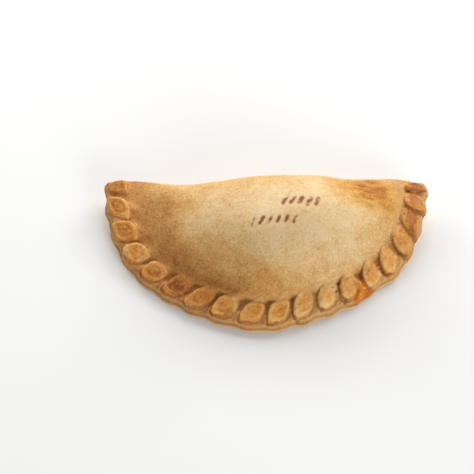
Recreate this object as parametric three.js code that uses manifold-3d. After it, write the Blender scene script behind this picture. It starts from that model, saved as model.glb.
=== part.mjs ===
// A whole baked empanada, lying on its flat underside: a disc of dough folded in half over its filling,
// and sealed round the curved front with a rope edge of folded-over pinches.
// Millimetres. +Z is up, +X runs along the fold to the right tip, and +Y points from the rope edge to the
// fold. The origin is under the middle of the finished pastry's box.
//
// The shape is worked out in a plan frame whose origin is the middle of the fold line. Rays leave the
// crown, and each carries one section: over the dome, out across the sealed rim or round the fold, and back
// underneath. The pinches are pillows of their own, fused on, so the pastry is one solid.
import * as THREE from "three";
import { mergeVertices } from "three/addons/utils/BufferGeometryUtils.js";
import Module from "manifold-3d";

// The half-moon.
const HALF_LENGTH = 67.5; // middle of the fold to a tip
const DEPTH = 62.3; // fold line to the front edge
const FRONT_POWERS = {
  // of the front's superellipse on each side of the middle: 2 and 2 are an ellipse
  left: { across: 1.6, ahead: 2.33 },
  right: { across: 1.36, ahead: 2.38 },
};
const FOLD_BULGE = 2.2; // how far the fold bows out behind the line between the tips

// The filled dome.
const CROWN = { x: 16, y: -25, z: 35.4 }; // highest point
const CREST_FULLNESS = { left: 1.4, right: 1.1 }; // of its slopes: 0.5 is a quarter ellipse, more is lean
const FRONT_FULLNESS = 0.78;
const FOLD_SHARE = 0.31; // the fold stands out furthest at this share of the crest's height
const FOLD_UNDER = 12; // how far the lower half of the fold curves in to the flat base
const LUMPS = 0.3; // unevenness of the filling under the dough

// The sealed rim.
const RIM_WIDTH = { front: 10.8, tips: 8.8 };
const SEAM_HALF_LENGTH = HALF_LENGTH - RIM_WIDTH.tips;
const SEAM_DEPTH = DEPTH - RIM_WIDTH.front;
const RIM_THICK = 3.8;
const RIM_GAP = 0.5; // the rim's underside clears the ground by this much
const RIM_TOP = RIM_GAP + RIM_THICK;
const RIM_RISE = 0.9; // the rim is this much higher at the dome than at its edge
const FOOT = RIM_TOP + RIM_RISE; // where the dome leaves the rim
const UNDER_REACH = 16; // over this distance the underside comes down from the rim to the flat base
const UNDER_SAG = 0.2; // the base is made this far below the ground, which then cuts it flat
const LIP_STEP = 0.8; // the upper sheet's edge lies this far behind the lower sheet's
const SCALLOP = 0.5; // the rim's edge bulges out below each pinch by this much
const SCALLOP_SHIFT = 0.12; // and a little past it, in pinches
const SEAM_LOBE = 0.3; // the dome bulges out between the pinches by this much
const NOTCH = { count: 5, reach: 0.3, depth: 1.5 }; // the rim is narrower below one pinch, in pinches

// The tips curl up off the ground and sweep back.
const TIP_LIFT = { left: 5.6, right: 7.6 };
const TIP_SWEEP = { left: 3.6, right: 6 };
const TIP_ZONE = { x: 28, across: 36, y: -40, along: 36 }; // where the bend starts, and its length

// The pinches of the rope edge, counted from the right tip.
const PINCHES = 19;
const FIRST_PINCH = 3.6; // centre of the first and last ones, measured along the edge from the tip
const TIP_GAPS = [0.8, 0.84, 0.88]; // shares of the usual gap, from each tip inwards
const WIDER_GAPS = { 6: 1.15, 10: 1.18, 11: 1.06 }; // times the usual gap, by number from the right tip
const GAP_GROWTH = 0.19; // the gaps are this share smaller at the right tip and larger at the left one
const PINCH_INSET = { right: 6.4, left: 6, tips: 5.3 }; // centre of a pinch behind the edge
const PINCH_HALF_DEPTH = 4.5; // across the rim
const PINCH_HALF_WIDTH = { right: 4.6, left: 4.1, tips: 4 }; // along the rim
const PINCH_SHEAR = { usual: 0.36, spread: 0.14 }; // the inner end leans to the right tip by this slope
const PINCH_THICK = 2.4; // above the rim
const PINCH_ROOT = 2.4; // below the rim's top, where it is fused
const PINCH_CORNER_POWER = { rope: 2.7, front: 3.5 }; // superellipse power of its outline
const PINCH_EDGE_POWER = 0.62; // how full its rounded side is
const PINCH_WOBBLE = 0.04; // unevenness of its outline, twice
const PINCH_DISH = { rope: -0.25, front: 0.6 }; // hollow pressed into its top, or swell where less than 0
const PINCH_PITCH_SLOPE = 0.36; // it rises towards the dome
const PINCH_ROLL_SLOPE = { rope: 0.32, front: 0.18 }; // and towards the left tip, where its side overhangs
const ROPE = { end: 0.3, fade: 0.16 }; // up to this share of the edge from the right tip, pinches are fuller
const TIP_PINCH = { halfDepth: 4.6, halfWidth: 2.5, thick: 2.2 }; // the narrow tuck at each tip

// Number of facets.
const RAYS = 144;
const STATIONS = [9, 2, 5, 4]; // dome, rim top, edge, underside
const PINCH_AROUND = 16;
const PINCH_RINGS = 7;

const CRUST = { color: 0xd9ab70, roughness: 0.62, metalness: 0 };

const clamp = (t) => Math.min(1, Math.max(0, t));
const smooth = (t) => clamp(t) ** 2 * (3 - 2 * clamp(t));
const mix = (a, b, t) => a + (b - a) * t;
const signedPower = (t, p) => Math.sign(t) * Math.abs(t) ** p;

// A repeatable number from -1 to 1 for the uneven hand-made details.
function chance(index, seed) {
  const v = Math.sin(index * 12.9898 + seed * 78.233) * 43758.5453;
  return 2 * (v - Math.floor(v)) - 1;
}

// ---- Plan outline ----

const side = (x) => (x < 0 ? "left" : "right");

// Inside a curved front: a superellipse in front of the fold line, with straight sides behind it.
function insideCurve(x, y, halfLength, depth) {
  const powers = FRONT_POWERS[side(x)];
  return Math.abs(x / halfLength) ** powers.across + Math.abs(Math.min(y, 0) / depth) ** powers.ahead < 1;
}

const insideFront = (x, y) => insideCurve(x, y, HALF_LENGTH, DEPTH);
const insideSeam = (x, y) => insideCurve(x, y, SEAM_HALF_LENGTH, SEAM_DEPTH);
const insideFold = (x, y) => y < foldLine(x);

function foldLine(x) {
  return FOLD_BULGE * (1 - (x / HALF_LENGTH) ** 2);
}

// Distance from the crown, along a ray, to where it leaves an outline.
function reach(angle, inside) {
  let near = 0;
  let far = 2 * HALF_LENGTH;
  for (let step = 0; step < 40; step += 1) {
    const r = (near + far) / 2;
    if (inside(CROWN.x + r * Math.cos(angle), CROWN.y + r * Math.sin(angle))) near = r;
    else far = r;
  }
  return near;
}

// Outward normal of the front's superellipse near a plan point.
function frontNormal(x, y) {
  const powers = FRONT_POWERS[side(x)];
  const across = (powers.across / HALF_LENGTH) * signedPower(x / HALF_LENGTH, powers.across - 1);
  const ahead = (powers.ahead / DEPTH) * signedPower(Math.min(y, 0) / DEPTH, powers.ahead - 1);
  return new THREE.Vector2(across, ahead).normalize();
}

// A lower bound of two distances, rounded where they cross.
function softMin(a, b, radius) {
  const h = clamp(0.5 + (b - a) / (2 * radius));
  return mix(b, a, h) - radius * h * (1 - h);
}

// ---- The front edge as a path from the right tip to the left tip ----

const EDGE_STEPS = 600;
const edgePath = [];
for (let i = 0, travelled = 0; i <= EDGE_STEPS; i += 1) {
  const turn = (Math.PI * i) / EDGE_STEPS;
  const powers = FRONT_POWERS[side(Math.cos(turn))];
  const x = HALF_LENGTH * signedPower(Math.cos(turn), 2 / powers.across);
  const y = -DEPTH * Math.abs(Math.sin(turn)) ** (2 / powers.ahead);
  const last = edgePath[i - 1];
  if (last) travelled += Math.hypot(x - last.x, y - last.y);
  edgePath.push({ x, y, travelled });
}
const EDGE_LENGTH = edgePath[EDGE_STEPS].travelled;

// Distance travelled along the edge at the plan point's side of the superellipse.
function travelAt(x, y) {
  const powers = FRONT_POWERS[side(x)];
  const across = signedPower(x / HALF_LENGTH, powers.across / 2);
  const ahead = Math.abs(Math.min(y, 0) / DEPTH) ** (powers.ahead / 2);
  const place = (Math.atan2(ahead, across) / Math.PI) * EDGE_STEPS;
  const i = Math.min(EDGE_STEPS - 1, Math.floor(place));
  return mix(edgePath[i].travelled, edgePath[i + 1].travelled, place - i);
}

// Point of the edge after some travel, with its outward normal.
function edgeFrame(travelled) {
  let i = 0;
  while (i < EDGE_STEPS - 1 && edgePath[i + 1].travelled < travelled) i += 1;
  const t = (travelled - edgePath[i].travelled) / (edgePath[i + 1].travelled - edgePath[i].travelled);
  const x = mix(edgePath[i].x, edgePath[i + 1].x, t);
  const y = mix(edgePath[i].y, edgePath[i + 1].y, t);
  return { x, y, normal: frontNormal(x, y) };
}

// ---- The pinches' places along the edge ----

// No two gaps are quite alike.
const pinchTravel = [0];
for (let i = 1; i < PINCHES; i += 1) {
  const fromTip = Math.min(i, PINCHES - i) - 1;
  const usual = TIP_GAPS[fromTip] ?? 1 + 0.02 * chance(i, 1);
  const growth = GAP_GROWTH * ((2 * i) / PINCHES - 1);
  pinchTravel.push(pinchTravel[i - 1] + usual * (WIDER_GAPS[i] ?? 1) * (1 + growth));
}
const spread = (EDGE_LENGTH - 2 * FIRST_PINCH) / pinchTravel[PINCHES - 1];
pinchTravel.forEach((place, i) => {
  pinchTravel[i] = FIRST_PINCH + place * spread;
});

// The pinch number at some travel, with fractions between them.
function pinchCount(travelled) {
  let i = 0;
  while (i < PINCHES - 2 && pinchTravel[i + 1] < travelled) i += 1;
  return i + (travelled - pinchTravel[i]) / (pinchTravel[i + 1] - pinchTravel[i]);
}

// ---- Heights ----

function lumps(x, y) {
  const broad = Math.sin(x / 8.5 + 1.1) * Math.sin(y / 7.5 + 0.6);
  return LUMPS * (broad + 0.6 * Math.sin(x / 5.2 - y / 6.4 + 2.3));
}

// Height of the filling's crest above the foot, from tip to tip.
function crest(x) {
  const onLeft = x < CROWN.x;
  const share = clamp((x - CROWN.x) / ((onLeft ? -1 : 1) * SEAM_HALF_LENGTH - CROWN.x));
  return (CROWN.z - FOOT) * (1 - share ** 2) ** (onLeft ? CREST_FULLNESS.left : CREST_FULLNESS.right);
}

// Height of the dome over a plan point. Each slice across the pastry is one arch: it rises from the seam
// to the crest, and falls from there to the fold, where it stands upright.
function domeHeight(x, y) {
  const powers = FRONT_POWERS[side(x)];
  const left = Math.max(0, 1 - Math.abs(x / SEAM_HALF_LENGTH) ** powers.across);
  const front = -SEAM_DEPTH * left ** (1 / powers.ahead);
  const back = foldLine(x);
  const across = clamp((y - front) / Math.max(0.01, back - front));
  const middle = 1 + CROWN.y / SEAM_DEPTH;
  if (across < middle) return FOOT + crest(x) * (1 - (1 - across / middle) ** 2) ** FRONT_FULLNESS;
  const fallen = (across - middle) / (1 - middle);
  return FOOT + crest(x) * mix(FOLD_SHARE, 1, Math.sqrt(Math.max(0, 1 - fallen ** 2)));
}

// Bends a point with the tip that it is near.
function curlTip(point) {
  const across = smooth((Math.abs(point.x) - TIP_ZONE.x) / TIP_ZONE.across);
  const bend = across * smooth((point.y - TIP_ZONE.y) / TIP_ZONE.along);
  point.z += TIP_LIFT[side(point.x)] * bend;
  point.y += TIP_SWEEP[side(point.x)] * bend;
  return point;
}

// ---- The body ----

// How far the rim's edge stands out at a pinch number.
function scallopAt(count) {
  const notch = NOTCH.depth * Math.exp(-(((count - NOTCH.count) / NOTCH.reach) ** 2));
  return SCALLOP * Math.cos(2 * Math.PI * (count - SCALLOP_SHIFT)) - notch;
}

// What the sections along one ray share.
function makeRay(angle) {
  const front = reach(angle, insideFront);
  const fold = reach(angle, insideFold);
  const cos = Math.cos(angle);
  const sin = Math.sin(angle);
  const count = pinchCount(travelAt(CROWN.x + front * cos, CROWN.y + front * sin));
  const seam = Math.min(reach(angle, insideSeam), fold);
  const foldShare = 1 - smooth((Math.min(front, fold) - seam) / 7);
  return {
    cos,
    sin,
    seam,
    foldShare,
    edge: softMin(front + scallopAt(count) * (1 - foldShare), fold, 3),
    lobe: SEAM_LOBE * Math.cos(2 * Math.PI * (count - 0.5)) * (1 - foldShare),
  };
}

// Section of the body along a ray, as [distance from the crown, height]. t runs from 0 at the crown over
// the dome to 1 at the seam or the fold, over the rim's top to 2, round its edge to 3, and underneath to 4.
function bodySection(t, ray) {
  if (t <= 1) {
    const share = Math.sin((t * Math.PI) / 2);
    const r = ray.seam * share;
    const height = domeHeight(CROWN.x + r * ray.cos, CROWN.y + r * ray.sin);
    return [r + ray.lobe * smooth((share - 0.9) / 0.1), height];
  }
  const round = RIM_THICK / 2;
  const inset = Math.min(FOLD_UNDER, 0.5 * ray.edge);
  const rimEnd = ray.edge - round;
  const foldTurn = (Math.min(1, (t - 1) / 2.5) * Math.PI) / 2;
  const foldMiddle = domeHeight(CROWN.x + ray.edge * ray.cos, foldLine(CROWN.x + ray.edge * ray.cos));
  const foldHeight = mix(foldMiddle, -UNDER_SAG, Math.sin(foldTurn));
  let fold = [ray.edge - inset * (1 - Math.cos(foldTurn)), foldHeight];
  let rim;
  if (t <= 2) {
    rim = [mix(ray.seam + ray.lobe, rimEnd - LIP_STEP, t - 1), RIM_TOP + RIM_RISE * (2 - t) ** 2];
  } else if (t <= 3) {
    const turn = (t - 2) * Math.PI;
    const behind = LIP_STEP * (1 - smooth((t - 2.3) / 0.4));
    rim = [rimEnd - behind + round * Math.sin(turn), RIM_GAP + round + round * Math.cos(turn)];
  } else if (t <= 3.5) {
    rim = [rimEnd - UNDER_REACH * (t - 3) * 2, mix(RIM_GAP, -UNDER_SAG, smooth((t - 3) * 2))];
  } else {
    const left = (4 - t) * 2;
    rim = [(rimEnd - UNDER_REACH) * left, -UNDER_SAG];
    fold = [(ray.edge - inset) * left, -UNDER_SAG];
  }
  return rim.map((value, i) => mix(value, fold[i], ray.foldShare));
}

function bodyPoint(t, ray) {
  const [r, height] = bodySection(t, ray);
  const x = CROWN.x + r * ray.cos;
  const y = CROWN.y + r * ray.sin;
  const filled = t <= 2 ? smooth((height - FOOT) / 10) : 0;
  return curlTip(new THREE.Vector3(x, y, height + lumps(x, y) * filled));
}

// A closed surface from a ring function, with a pole at each end: rings go from the lower pole to the
// upper one, and turn anticlockwise seen from above.
function closedSurface(rings, around, point) {
  const positions = [];
  const index = [];
  const push = (p) => positions.push(p.x, p.y, p.z);
  push(point(0, 0));
  for (let i = 1; i < rings; i += 1) for (let j = 0; j < around; j += 1) push(point(i, j));
  push(point(rings, 0));
  const at = (i, j) => 1 + (i - 1) * around + (j % around);
  const top = 1 + (rings - 1) * around;
  for (let j = 0; j < around; j += 1) {
    index.push(0, at(1, j + 1), at(1, j));
    for (let i = 1; i < rings - 1; i += 1) {
      index.push(at(i, j), at(i, j + 1), at(i + 1, j + 1));
      index.push(at(i, j), at(i + 1, j + 1), at(i + 1, j));
    }
    index.push(at(rings - 1, j), at(rings - 1, j + 1), top);
  }
  const geometry = new THREE.BufferGeometry();
  geometry.setAttribute("position", new THREE.Float32BufferAttribute(positions, 3));
  geometry.setIndex(index);
  return geometry;
}

// Ray directions, spaced evenly along the finished outline and not by angle.
function rayAngles() {
  const fine = 2400;
  const travelled = [0];
  let last = null;
  for (let i = 0; i <= fine; i += 1) {
    const angle = (2 * Math.PI * i) / fine;
    const r = Math.min(reach(angle, insideFront), reach(angle, insideFold));
    const here = { x: r * Math.cos(angle), y: r * Math.sin(angle) };
    if (last) travelled.push(travelled[i - 1] + Math.hypot(here.x - last.x, here.y - last.y));
    last = here;
  }
  const angles = [];
  for (let j = 0, i = 0; j < RAYS; j += 1) {
    const target = (travelled[fine] * j) / RAYS;
    while (travelled[i + 1] < target) i += 1;
    const t = (target - travelled[i]) / (travelled[i + 1] - travelled[i]);
    angles.push((2 * Math.PI * (i + t)) / fine);
  }
  return angles;
}

function makeBody() {
  const rays = rayAngles().map(makeRay);
  const stations = [];
  STATIONS.forEach((count, part) => {
    for (let k = 0; k < count; k += 1) stations.push(part + k / count);
  });
  stations.push(4);
  stations.reverse();
  return closedSurface(stations.length - 1, RAYS, (i, j) => bodyPoint(stations[i], rays[j]));
}

// ---- The pinches ----

// One pinch: a pillow with a rounded, slanted outline, higher on the side of the dome and of the left tip.
// Its top is full and strongly tilted on the right arm, and pressed hollow along the front and the left arm.
function makePinch(index) {
  const tip = index === 0 || index === PINCHES - 1;
  const travelled = pinchTravel[index];
  const frame = edgeFrame(travelled);
  const along = travelled / EDGE_LENGTH;
  const frontal = smooth(Math.sin(Math.PI * along) ** 1.3);
  const afterRope = smooth((along - ROPE.end) / ROPE.fade);
  const inset = mix(PINCH_INSET.tips, mix(PINCH_INSET.right, PINCH_INSET.left, along), frontal);
  const size = 1 + 0.06 * chance(index, 2);
  const halfDepth = (tip ? TIP_PINCH.halfDepth : PINCH_HALF_DEPTH) * (1 + 0.04 * chance(index, 3));
  const frontWidth = mix(PINCH_HALF_WIDTH.right, PINCH_HALF_WIDTH.left, along);
  const usualWidth = mix(PINCH_HALF_WIDTH.tips, frontWidth, frontal);
  const halfWidth = (tip ? TIP_PINCH.halfWidth : usualWidth) * size;
  const shear = tip ? 0 : PINCH_SHEAR.usual + PINCH_SHEAR.spread * chance(index, 1601);
  const thick = (tip ? TIP_PINCH.thick : PINCH_THICK) * (1 + 0.07 * chance(index, 5));
  const roll = mix(PINCH_ROLL_SLOPE.rope, PINCH_ROLL_SLOPE.front, afterRope) * (1 + 0.3 * chance(index, 6));
  const dishDepth = mix(PINCH_DISH.rope, PINCH_DISH.front, afterRope) * (1 + 0.4 * chance(index, 7));
  const cornerPower = mix(PINCH_CORNER_POWER.rope, PINCH_CORNER_POWER.front, afterRope);
  const centre = {
    x: frame.x - frame.normal.x * inset,
    y: frame.y - frame.normal.y * inset,
  };
  const base = RIM_TOP + RIM_RISE / 2;

  return closedSurface(PINCH_RINGS, PINCH_AROUND, (i, j) => {
    const rise = mix(-Math.PI / 2, Math.PI / 2, i / PINCH_RINGS);
    const turn = (-2 * Math.PI * j) / PINCH_AROUND;
    const waves = Math.sin(2 * turn + 2.1 * index) + Math.sin(3 * turn + 1.3 * index);
    const spreadOut = Math.cos(rise) ** PINCH_EDGE_POWER;
    const outline = spreadOut * (1 + PINCH_WOBBLE * waves);
    const inwards = halfDepth * outline * signedPower(Math.cos(turn), 2 / cornerPower);
    const sideways = halfWidth * outline * signedPower(Math.sin(turn), 2 / cornerPower);
    const rightwards = sideways + shear * inwards;
    const height = signedPower(Math.sin(rise), PINCH_EDGE_POWER);
    const dish = rise > 0 ? dishDepth * (1 - smooth((spreadOut - 0.45) / 0.42)) : 0;
    const z = (height > 0 ? thick : PINCH_ROOT) * height - dish;
    const tilt = PINCH_PITCH_SLOPE * inwards - roll * rightwards;
    const x = centre.x - frame.normal.x * inwards - frame.normal.y * rightwards;
    const y = centre.y - frame.normal.y * inwards + frame.normal.x * rightwards;
    return curlTip(new THREE.Vector3(x, y, base + z + tilt));
  });
}

// ---- Joining ----

const wasm = await Module();
wasm.setup();

function toSolid(geometry) {
  const merged = mergeVertices(geometry, 1e-4);
  const mesh = new wasm.Mesh({
    numProp: 3,
    vertProperties: merged.attributes.position.array,
    triVerts: new Uint32Array(merged.index.array),
  });
  return new wasm.Manifold(mesh);
}

function toGeometry(solid) {
  const mesh = solid.getMesh();
  const geometry = new THREE.BufferGeometry();
  geometry.setAttribute("position", new THREE.Float32BufferAttribute(mesh.vertProperties, 3));
  geometry.setIndex(Array.from(mesh.triVerts));
  return geometry;
}

let pastry = toSolid(makeBody());
for (let index = 0; index < PINCHES; index += 1) pastry = pastry.add(toSolid(makePinch(index)));
pastry = pastry.trimByPlane([0, 0, 1], 0);

const geometry = toGeometry(pastry);
geometry.computeBoundingBox();
const { min, max } = geometry.boundingBox;
geometry.translate(-(min.x + max.x) / 2, -(min.y + max.y) / 2, -min.z);
geometry.computeVertexNormals();

const empanada = new THREE.Mesh(geometry, new THREE.MeshStandardMaterial(CRUST));
empanada.name = "empanada";

const part = new THREE.Group();
part.add(empanada);

export default part;
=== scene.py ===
"""A whole baked empanada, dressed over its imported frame.

The pastry is worked out in millimetres in a plan frame, as the solid is: the origin is the middle of
the fold line, +x runs along the fold to the right tip, and the rope edge lies towards -y. Every surface
is a numpy grid. The dough's body and its pinches are joined by a voxel remesh, and their fine relief is
moved in afterwards. What the crust's colour follows is kept as attributes of its points.
"""
import math
from functools import partial, reduce

import bpy
import numpy as np
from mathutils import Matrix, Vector


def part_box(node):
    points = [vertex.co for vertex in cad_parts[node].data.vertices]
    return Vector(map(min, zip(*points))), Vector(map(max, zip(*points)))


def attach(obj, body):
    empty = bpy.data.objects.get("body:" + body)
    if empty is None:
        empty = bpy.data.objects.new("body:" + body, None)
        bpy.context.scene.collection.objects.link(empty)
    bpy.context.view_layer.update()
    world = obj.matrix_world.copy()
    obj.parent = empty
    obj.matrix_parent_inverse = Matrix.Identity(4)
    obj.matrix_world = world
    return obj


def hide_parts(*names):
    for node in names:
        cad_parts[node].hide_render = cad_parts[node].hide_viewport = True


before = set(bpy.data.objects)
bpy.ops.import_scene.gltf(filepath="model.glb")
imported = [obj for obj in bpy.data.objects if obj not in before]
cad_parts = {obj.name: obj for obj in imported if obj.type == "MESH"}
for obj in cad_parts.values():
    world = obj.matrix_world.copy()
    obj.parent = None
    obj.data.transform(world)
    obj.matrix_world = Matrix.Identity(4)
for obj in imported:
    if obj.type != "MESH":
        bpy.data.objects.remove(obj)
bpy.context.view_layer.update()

MM = 0.001

# ---- Sizes, in millimetres ----

HALF_LENGTH = 67.5
DEPTH = 62.3
FRONT_POWERS = {"left": (1.6, 2.33), "right": (1.36, 2.38)}  # of the superellipse, across and ahead
FOLD_BULGE = 2.2

CROWN = (16.0, -25.0, 35.4)
CREST_FULLNESS = (1.4, 1.1)  # of the crest's slopes to the left and to the right
FRONT_FULLNESS = 0.78
FOLD_SHARE = 0.31
FOLD_UNDER = 12.0
LUMPS = 0.3

RIM_WIDTH = {"front": 10.8, "tips": 8.8}
SEAM_HALF_LENGTH = HALF_LENGTH - RIM_WIDTH["tips"]
SEAM_DEPTH = DEPTH - RIM_WIDTH["front"]
RIM_THICK = 3.8
RIM_GAP = 0.5
RIM_TOP = RIM_GAP + RIM_THICK
RIM_RISE = 0.9
FOOT = RIM_TOP + RIM_RISE
UNDER_REACH = 16.0
UNDER_SAG = 0.2  # the base is made this far below the ground, which then cuts it flat
LIP_STEP = 0.8  # the upper sheet's edge lies this far behind the lower sheet's
SCALLOP = 0.5
SCALLOP_SHIFT = 0.12
SEAM_LOBE = 0.3
NOTCH = {"count": 5.0, "reach": 0.3, "depth": 1.5}  # the rim is narrow beside the sauce
TIP_CORNER = {"fade": 7.0, "radius": 3.0}  # where the rim gives way to the fold

TIP_LIFT = {"left": 5.6, "right": 7.6}
TIP_SWEEP = {"left": 3.6, "right": 6.0}
TIP_ZONE = {"x": 28.0, "across": 36.0, "y": -40.0, "along": 36.0}

PINCHES = 19
FIRST_PINCH = 3.6
TIP_GAPS = (0.8, 0.84, 0.88)  # of the usual gap, from each tip inwards
SAUCE_GAP = 6  # the gap from which the sauce came out, counted from the right tip
WIDER_GAPS = {SAUCE_GAP: 1.15, 10: 1.18, 11: 1.06}
GAP_GROWTH = 0.19  # the gaps are this share smaller at the right tip and larger at the left one
PINCH_INSET = {"right": 6.4, "left": 6.0, "tips": 5.3}
PINCH_HALF_DEPTH = 4.5
PINCH_HALF_WIDTH = {"right": 4.6, "left": 4.1, "tips": 4.0}
PINCH_SHEAR = {"usual": 0.36, "spread": 0.14}
PINCH_THICK = 2.4
PINCH_ROOT = 2.4
PINCH_CORNER_POWER = {"rope": 2.7, "front": 3.5}
PINCH_EDGE_POWER = 0.62
PINCH_WOBBLE = 0.04
PINCH_DISH = {"rope": -0.25, "front": 0.6}
PINCH_PITCH_SLOPE = 0.36
PINCH_ROLL_SLOPE = {"rope": 0.32, "front": 0.18}
ROPE = {"end": 0.3, "fade": 0.16}  # the pinches are fuller up to this share of the edge from the right tip
TIP_PINCH = {"half_depth": 4.6, "half_width": 2.5, "thick": 2.2}

# Fine forms that the plain solid leaves out: dough that wells up between the pinches, the hole behind it,
# and the rounded edges of the rim's two sheets. The pale middle of the dough is only a colour.
GAP_RIDGE = {"height": 2.6, "width": 0.24, "inset": 7.4, "reach": 5.0}
GAP_POCKET = {"depth": 1.8, "width": 0.09, "inset": 7.2, "reach": 0.8}
GAP_PALE = {"width": 0.16, "inset": 3.6, "reach": 2.4}
SHEET_ROUND = RIM_THICK / 4

# The skin over the joined dough: its voxels, its rounds of relaxing, and the share of one round that
# sharpens it. Grooves are filled by most of what makes them deeper than usual.
VOXEL = 0.5
SKIN = {"relaxed": 2, "sharpened": -0.3}
GROOVE = {"rounds": 4, "usual": 0.12, "filled": 0.8}

# Fine relief, in millimetres. What is pressed in is below 0.
RELIEF = {
    "dimples": 0.09,
    "creases": 0.22,
    "wrinkles": -0.16,
    "whorls": 0.12,
    "fold": -0.16,
    "grain": 0.05,
    "rim": 0.16,
    "marks": -0.3,
    "sauce": 0.45,
}
MARK_ROWS = (
    {"at": (14.0, -20.5), "count": 5, "size": 1.25},
    {"at": (3.5, -28.5), "count": 6, "size": 1.0},
)
MARK = {"step": 3.3, "length": 2.0, "width": 0.8, "lean": 0.45}
SAUCE_HALF_WIDTH = {"edge": 0.38, "inner": 0.28}  # of the gap from one pinch to the next

# ---- Browning, from 0 for raw cream to 1 for toasted ----

# Places on the dome, in the plan frame: middle, and reach along x and y. The left patch is the right one
# mirrored, and fainter.
GOLDEN_PATCH = {"at": (41.5, -10.0), "reach": (14.0, 8.5)}
LEFT_PATCH = 0.3
PALE_STREAK = {"at": (39.0, -20.5), "reach": (8.5, 1.2)}

DOME_BROWN = {
    "everywhere": 0.08,
    "dimples": 0.05,
    "patch": 0.34,
    "streaks": 0.2,
    "pale_streak": -0.1,
    "left_shoulder": -0.14,
    # Low in front, and near the foot in the left of the front: darker, partly browning, partly painted
    # shade.
    "low_down": 0.54,
    "near_foot": 0.3,
    "fold": 0.3,
}
PINCH_EDGE_BROWN = {"rope": 0.24, "front": 0.29}
PINCH_MIDDLE_BROWN = {"rope": 0.22, "front": 0.17}  # added in the middle
# The left share darkens the left pinches, partly as browning and partly as painted shade.
PINCH_BROWN = {"creases": 0.14, "fold": 0.12, "wrinkles": 0.12, "leftwards": 0.12, "right_tip": 0.38}
RIM_BROWN = {"inner": 0.48, "outer": 0.82}
RIM_CHANGE = {
    "leftwards": 0.12,
    # Darker on the left and most in its front: partly browning, partly painted shade.
    "sheltered": 0.16,
    "gap_dough": -0.1,
    "lower_lip": -0.9,
    "upper_lip": -0.25,
}
UNDERSIDE_BROWN = 0.34
# Paler where the crust stands proud on the top: a painted highlight.
RAISED_BROWN = -0.09

# How much browner each pinch is than usual, in three stretches from the right tip to the left one.
ROPE_BROWN = (0.1, 0, 0.1, 0.06, 0.1, 0.03)
FRONT_BROWN = (0.02, -0.12, -0.09, -0.05, 0.08, 0)
LEFT_BROWN = (0.2, 0.38, 0.1, -0.06, 0.1, 0, 0.1)
EACH_PINCH_BROWN = ROPE_BROWN + FRONT_BROWN + LEFT_BROWN

# Shares of the golden tint, and of the rim's dull floury one.
GOLDEN = {"pinch": {"rope": 0.68, "front": 1}, "rim": 0.3}
FLOUR = {"left": 0.1, "right": 0.34, "side": 0.46}

# How dark the painted shade lines are, from 0 to 1: in grooves, hollows and holes, under the rope's
# left edges, in the rim's seam and round each pinch.
DARK_GROOVE = {"rope": 0.85, "front": 0.62}
DARK_HOLLOW = 0.16
DARK = {"hole": 0.6, "left_edge": 0.85, "seam": 0.45}
OUTLINE = {"everywhere": 0.12, "left": {"rope": 0.88, "front": 0.5}, "outer": 0.3, "most": 0.85}
# How strong the painted highlight along each pinch's raised rim is, by kind. It also sets where the whorls
# lie and how much less the pinch shines.
BEAD = {"rope": 0.25, "front": 1}

# ---- Small helpers on whole arrays ----


def clamp(t):
    return np.clip(t, 0.0, 1.0)


def smooth(t):
    return clamp(t) ** 2 * (3 - 2 * clamp(t))


def mix(a, b, t):
    return a + (b - a) * t


def step(value, start, end):
    """0 at the start, 1 at the end and smooth between them. The start may be the higher one."""
    return smooth((value - start) / (end - start))


def band(value, middle, width):
    """1 in the middle, falling off on both sides as e to the minus the squared distance in widths."""
    return np.exp(-(((value - middle) / width) ** 2))


def of_kind(values, front):
    """A value for the rope's pinches mixed with the one for the front's, by the share of the front's."""
    return mix(values["rope"], values["front"], front)


def weighted(shares, **fields):
    """The sum of all fields, each times its own share."""
    return sum(share * fields[name] for name, share in shares.items())


def signed_power(t, p):
    return np.sign(t) * np.abs(t) ** p


def bell(x, y, place):
    """A bump of height 1: e to the minus the squared distance from the middle, in units of the reach."""
    (cx, cy), (rx, ry) = place["at"], place["reach"]
    return np.exp(-(((x - cx) / rx) ** 2) - ((y - cy) / ry) ** 2)


def chance(index, seed):
    """A repeatable number from -1 to 1: the fraction of a large sine, as in the solid's own source."""
    v = math.sin(index * 12.9898 + seed * 78.233) * 43758.5453
    return 2 * (v - math.floor(v)) - 1


def cell_noise(points, size, seed):
    """Smooth unevenness from -1 to 1: a hashed number at each corner of a lattice of cells of this size,
    blended across the cell with a fifth-degree step."""
    p = points / size + seed * 17.31
    corner = np.floor(p)
    f = p - corner
    w = f * f * f * (f * (f * 6 - 15) + 10)
    total = np.zeros(len(points))
    for dx, dy, dz in np.ndindex(2, 2, 2):
        h = np.sin((corner + (dx, dy, dz)) @ (12.9898, 78.233, 37.719) + seed * 4.1) * 43758.5453
        share = np.abs(1 - dx - w[:, 0]) * np.abs(1 - dy - w[:, 1]) * np.abs(1 - dz - w[:, 2])
        total += share * (2 * (h - np.floor(h)) - 1)
    return total


# ---- Plan outline ----


def front_powers(x):
    """Powers of the superellipse on this side of the middle: across and ahead."""
    return [np.where(x < 0, *pair) for pair in zip(FRONT_POWERS["left"], FRONT_POWERS["right"])]


def superellipse(x, y, half_length=HALF_LENGTH, depth=DEPTH):
    """(x / half length) ** across + (y / depth) ** ahead, which is 1 on the outline and less inside it."""
    across, ahead = front_powers(x)
    return np.abs(x / half_length) ** across + np.abs(np.minimum(y, 0) / depth) ** ahead


def inside_front(x, y):
    return superellipse(x, y) < 1


def inside_seam(x, y):
    return superellipse(x, y, SEAM_HALF_LENGTH, SEAM_DEPTH) < 1


def fold_line(x):
    """The fold bows out as a parabola over the line between the tips."""
    return FOLD_BULGE * (1 - (x / HALF_LENGTH) ** 2)


def inside_fold(x, y):
    return y < fold_line(x)


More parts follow.
